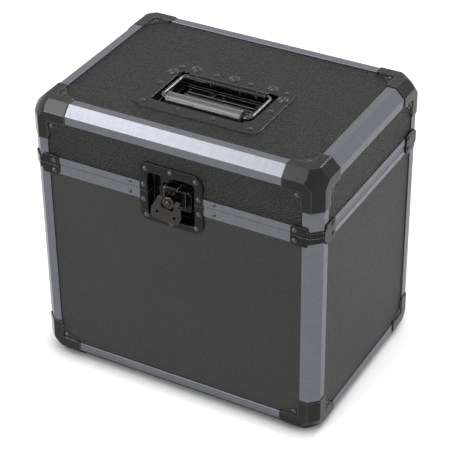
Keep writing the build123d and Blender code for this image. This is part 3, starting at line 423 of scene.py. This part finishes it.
# The light second colours tint scratches and eased edges: partly wear, partly painted edge
# highlights such as the caps' lip lines and the claw's bright lines.
cap_finish = black_paint("cap gloss black", colour(5, 5, 5), colour(104, 104, 99), 0.10,
                         specular=0.32, easing=1.6 * MM, rub_and_highlight=1.0)
bracket_finish = black_paint("bracket black", colour(5, 5, 5), colour(150, 150, 144), 0.15,
                             rub_and_highlight=1.0)
steel_finish = black_paint("dish black", colour(6, 6, 6), colour(108, 108, 103), 0.13, peel=0.05,
                           easing=1.0 * MM)
claw_finish = black_paint("claw black", colour(6, 6, 6), colour(190, 190, 187), 0.13,
                          easing=1.0 * MM, rub_and_highlight=1.0)
plate_finish = black_paint("handle plate black", colour(3, 3, 3), colour(138, 138, 136), 0.13,
                           peel=0.05, easing=1.3 * MM, rub_and_highlight=0.9)
wing_finish = black_paint("wing black zinc", colour(36, 35, 32), colour(110, 108, 99), 0.34)
hub_finish = hub_nickel("hub black nickel", colour(66, 65, 61), colour(138, 137, 131), 0.12)
wire_finish = black_paint("bail gloss black", colour(9, 9, 9), colour(60, 60, 58), 0.12,
                          specular=0.9)
rivet_finish = black_paint("rivet black", colour(3, 3, 3), colour(66, 66, 64), 0.12,
                           specular=0.85, easing=0.4 * MM, rub_and_highlight=0.4)
hinge_finish = black_paint("hinge black", colour(8, 8, 8), colour(70, 70, 67), 0.20)
grip_finish = moulded_rubber("grip rubber", colour(18, 18, 18), colour(27, 27, 26))
foam_finish = foam("pad foam", colour(26, 26, 28), colour(58, 58, 62))

NODE_FINISHES = {
    "base_front_panel": front_panel, "latch_hub": hub_finish, "latch_wing": wing_finish,
    "latch_claw": claw_finish, "handle_dish": plate_finish, "handle_bail": wire_finish,
    "handle_grip": grip_finish, "floor_pad": foam_finish, "lid_pad": foam_finish}
FAMILY_FINISHES = (("_cap_", cap_finish), ("brackets", bracket_finish), ("rivets", rivet_finish),
                   ("hinge", hinge_finish))


def finish_for(node):
    """The finish of a CAD node."""
    if node in NODE_FINISHES:
        return NODE_FINISHES[node]
    if "panel" in node:
        return lid_laminate_painted_light if "lid" in node else side_laminate_painted_light
    if "post" in node:
        return edge_along["Z"]
    if "rail" in node:
        along = "X" if node.endswith(("front", "back")) else "Y"
        return (bowed_along if "seam_rail" in node else edge_along)[along]
    return next((finish for part, finish in FAMILY_FINISHES if part in node), steel_finish)


for name, node in frame["nodes"].items():
    for place in range(len(node.material_slots)):
        node.material_slots[place].material = finish_for(name)
    if not node.material_slots:
        node.data.materials.append(finish_for(name))


# Foam pads

def outline(half_x, half_y, corner, steps=10):
    """Rounded rectangle round the case's middle: a quarter circle about each corner's centre."""
    angle = np.linspace(0, np.pi / 2, steps)[None, :] + np.arange(4)[:, None] * np.pi / 2
    side_x = np.array([1, -1, -1, 1])[:, None] * (half_x - corner)
    side_y = np.array([1, 1, -1, -1])[:, None] * (half_y - corner)
    x = side_x + corner * np.cos(angle)
    y = CASE_Y + side_y + corner * np.sin(angle)
    return np.stack([x.ravel(), y.ravel()], -1)


def foam_section(thick, crown, soft, inset):
    """Half of a foam slab's section, from the middle of its underside round one edge to its top.

    Each edge is two quarter ellipses, inset across by a share of the width and soft in height; its
    side draws in a little at half height, and the top rises by crown towards the middle.
    """
    turn = np.linspace(0, np.pi / 2, 7)
    rounding = inset * (1 - np.sin(turn))
    rise = soft * (1 - np.cos(turn))
    inwards = np.array([0.12, 0.3, 0.5])
    share = np.concatenate([inwards[::-1], rounding, [0.15 * inset], rounding[::-1], inwards])
    top = thick - crown
    level = np.concatenate([[0, 0, 0], rise, [top / 2], top - rise[::-1],
                            top + crown * np.sin(np.pi * inwards)])
    return share, level


def foam_piece(name, outer, inner, share, level, closed, body, node):
    """Foam between two outlines: each row of the section lies its share of the way inwards."""
    ring = (1 - share)[:, None, None] * outer + share[:, None, None] * inner
    height = np.broadcast_to(level[:, None, None], ring.shape[:2] + (1,))
    points = np.concatenate([ring, height], -1)
    rows, columns = points.shape[:2]
    i, j = np.meshgrid(np.arange(rows if closed else rows - 1), np.arange(columns), indexing="ij")
    i2, j2 = (i + 1) % rows, (j + 1) % columns
    quads = np.stack([i * columns + j, i * columns + j2, i2 * columns + j2, i2 * columns + j], -1)
    mesh = bpy.data.meshes.new(name)
    mesh.from_pydata(points.reshape(-1, 3).tolist(), [], quads.reshape(-1, 4).tolist())
    shell = bmesh.new()
    shell.from_mesh(mesh)
    bmesh.ops.remove_doubles(shell, verts=shell.verts, dist=1e-6)
    bmesh.ops.recalc_face_normals(shell, faces=shell.faces)
    shell.to_mesh(mesh)
    shell.free()
    mesh.shade_smooth()
    mesh.materials.append(foam_finish)
    piece = bpy.data.objects.new(name, mesh)
    bpy.context.collection.objects.link(piece)
    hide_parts(node)
    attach(piece, body)


PAD_CORNER = 5.6 * MM
pad_low, pad_high = (Vector(corner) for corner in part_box("floor_pad"))
pad_outline = outline((pad_high.x - pad_low.x) / 2, (pad_high.y - pad_low.y) / 2, PAD_CORNER)
share, level = foam_section(pad_high.z - pad_low.z, 0.9 * MM, 2.2 * MM, 0.02)
foam_piece("floor_foam", pad_outline, np.array([[0, CASE_Y]]), 2 * share, pad_low.z + level, False,
           "base", "floor_pad")

OPENING_X, OPENING_CORNER = 68.7 * MM, 7.2 * MM
OPENING_FRONT, OPENING_BACK = -70.7 * MM, 11.2 * MM
pad_low, pad_high = (Vector(corner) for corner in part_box("lid_pad"))
opening = outline(OPENING_X, (OPENING_BACK - OPENING_FRONT) / 2, OPENING_CORNER)
opening += np.array([0, (OPENING_FRONT + OPENING_BACK) / 2])
share, level = foam_section(pad_high.z - pad_low.z, 0.8 * MM, 3.0 * MM, 0.03)
share, level = np.concatenate([share, 1 - share[-2:0:-1]]), np.concatenate([level, level[-2:0:-1]])
foam_piece("lid_foam", pad_outline, opening, share, pad_high.z - level, True, "lid", "lid_pad")


# Stage, lights and camera

RIGHT_EDGE = 0.185, 0.200        # where the floor's shade passes from the front's to the right's
SHADE_REACH = 0.031, 0.120       # of the contact shade, in front and on the right
SHADE_BLACK = 0.29, -0.60        # openness at which the shade would be black, likewise
SHADE_WHITE = 0.95


def either(nodes, path, *rays):
    """1 for a ray of any of these kinds of Light Path."""
    value = path.outputs[rays[0]]
    for ray in rays[1:]:
        value = math_node(nodes, "MAXIMUM", value, path.outputs[ray])
    return value


def stage_floor():
    """A floor that cameras and mirrors see white, shaded where the case stands close above it."""
    size = 12.0
    mesh = bpy.data.meshes.new("stage floor")
    mesh.from_pydata([(-size, -size, 0), (size, -size, 0), (size, size, 0), (-size, size, 0)], [],
                     [(0, 1, 2, 3)])
    floor = bpy.data.objects.new("stage_floor", mesh)
    bpy.context.collection.objects.link(floor)
    material = bpy.data.materials.new("stage white")
    material.use_nodes = True
    nodes, links = material.node_tree.nodes, material.node_tree.links
    nodes.clear()
    out = nodes.new("ShaderNodeOutputMaterial")
    path = nodes.new("ShaderNodeLightPath")
    mirrored = either(nodes, path, "Is Glossy Ray", "Is Transmission Ray")
    place = split_axes(nodes, nodes.new("ShaderNodeTexCoord").outputs["Object"])
    right_side = map_range(nodes, place["X"], *RIGHT_EDGE, 0.0, 1.0)
    near = nodes.new("ShaderNodeAmbientOcclusion")
    near.samples = 12
    feed(near.inputs["Distance"], map_range(nodes, right_side, 0, 1, *SHADE_REACH))
    black = map_range(nodes, right_side, 0, 1, *SHADE_BLACK)
    open_air = map_range(nodes, near.outputs["AO"], black, SHADE_WHITE, 0.0, 1.0)
    glow = nodes.new("ShaderNodeEmission")
    level = math_node(nodes, "MULTIPLY_ADD", path.outputs["Is Camera Ray"], 0.90, mirrored)
    feed(glow.inputs["Strength"], math_node(nodes, "MULTIPLY", level, open_air))
    diffuse = nodes.new("ShaderNodeBsdfDiffuse")
    body = mix_colour(nodes, path.outputs["Is Camera Ray"], (0.72, 0.72, 0.72, 1),
                      (0.42, 0.42, 0.42, 1))
    feed(diffuse.inputs["Color"], mix_colour(nodes, mirrored, body, (0, 0, 0, 1)))
    both = nodes.new("ShaderNodeAddShader")
    links.new(diffuse.outputs[0], both.inputs[0])
    links.new(glow.outputs[0], both.inputs[1])
    links.new(both.outputs[0], out.inputs["Surface"])
    mesh.materials.append(material)


def softbox(name, place, aim, size, power):
    """A rectangular area light at a place, turned to its aim."""
    light = bpy.data.lights.new(name, "AREA")
    light.shape = "RECTANGLE"
    light.size, light.size_y = size
    light.energy = power
    lamp = bpy.data.objects.new(name, light)
    bpy.context.collection.objects.link(lamp)
    lamp.location = place
    lamp.rotation_mode = "QUATERNION"
    lamp.rotation_quaternion = (Vector(aim) - Vector(place)).to_track_quat("-Z", "Y")


ROOM_LEVEL = 0.24
ROOM_PATCHES = (((0.95, -0.15, 0.22), 7.5, 12.0), ((0.555, 0.726, 0.406), 0.95, 14.0))


def sky():
    """White to cameras and mirrors; the light that falls from it is a dim room's.

    Two broad, soft patches add to it: each is the cosine to its direction, raised to a power.
    """
    world = bpy.data.worlds.new("studio")
    world.use_nodes = True
    bpy.context.scene.world = world
    nodes = world.node_tree.nodes
    direction = nodes.new("ShaderNodeTexCoord").outputs["Generated"]
    level = ROOM_LEVEL
    for towards, strength, tightness in ROOM_PATCHES:
        facing = vector_node(nodes, "DOT_PRODUCT", direction, tuple(Vector(towards).normalized()))
        patch = math_node(nodes, "POWER", math_node(nodes, "MAXIMUM", facing, 0.0), tightness)
        level = math_node(nodes, "MULTIPLY_ADD", patch, strength, level)
    seen = either(nodes, nodes.new("ShaderNodeLightPath"), "Is Camera Ray", "Is Glossy Ray",
                  "Is Transmission Ray")
    feed(nodes["Background"].inputs["Color"], mix_colour(nodes, seen, level, (1, 1, 1, 1)))


CASE_WIDTH = 0.380
AZIMUTH, ELEVATION, ROLL = radians(29.2307), radians(33.7338), radians(-0.7178)
DISTANCE = 5.7156 * CASE_WIDTH
AIM_RIGHT, AIM_UP = -0.0089 * CASE_WIDTH, 0.4344 * CASE_WIDTH
FOCAL_PIXELS, FRAME_PIXELS, SENSOR = 1747.93, 452, 36.0


def photo_camera():
    """The photograph's camera: a long lens, set by its bearing from the case and a slight roll."""
    back = Vector((sin(AZIMUTH) * cos(ELEVATION), -cos(AZIMUTH) * cos(ELEVATION), sin(ELEVATION)))
    right = Vector((cos(AZIMUTH), sin(AZIMUTH), 0))
    up = back.cross(right)
    aim = Vector((0, CASE_Y, FLOOR_TO_RAIL + AIM_UP)) + right * AIM_RIGHT
    rolled_right = right * cos(ROLL) + up * sin(ROLL)
    rolled_up = up * cos(ROLL) - right * sin(ROLL)
    data = bpy.data.cameras.new("photo camera")
    data.sensor_width = SENSOR
    data.lens = FOCAL_PIXELS * SENSOR / FRAME_PIXELS
    data.clip_start, data.clip_end = 0.05, 50
    camera = bpy.data.objects.new("photo_camera", data)
    bpy.context.collection.objects.link(camera)
    turn = Matrix((rolled_right, rolled_up, back)).transposed().to_4x4()
    turn.translation = aim + back * DISTANCE
    camera.matrix_world = turn
    bpy.context.scene.camera = camera


stage_floor()
sky()
TOP_EDGE, LATCH, LID_MIDDLE = (0, -0.13, 0.36), (0, -0.13, 0.28), (0, 0, 0.36)
softbox("front", (-1.15, -1.36, 2.08), TOP_EDGE, (1.4, 0.9), 8.0)
softbox("front middle", (-1.28, -1.28, 2.05), TOP_EDGE, (0.8, 0.6), 5.2)
softbox("above", (-0.10, -1.75, 1.85), LATCH, (0.3, 0.3), 12.0)
softbox("behind", (0.33, 1.60, 1.83), LID_MIDDLE, (0.4, 0.3), 8.0)
softbox("low left", (-1.25, -1.98, 0.50), LATCH, (0.5, 0.4), 12.0)
photo_camera()
bpy.context.scene.view_settings.view_transform = "Standard"
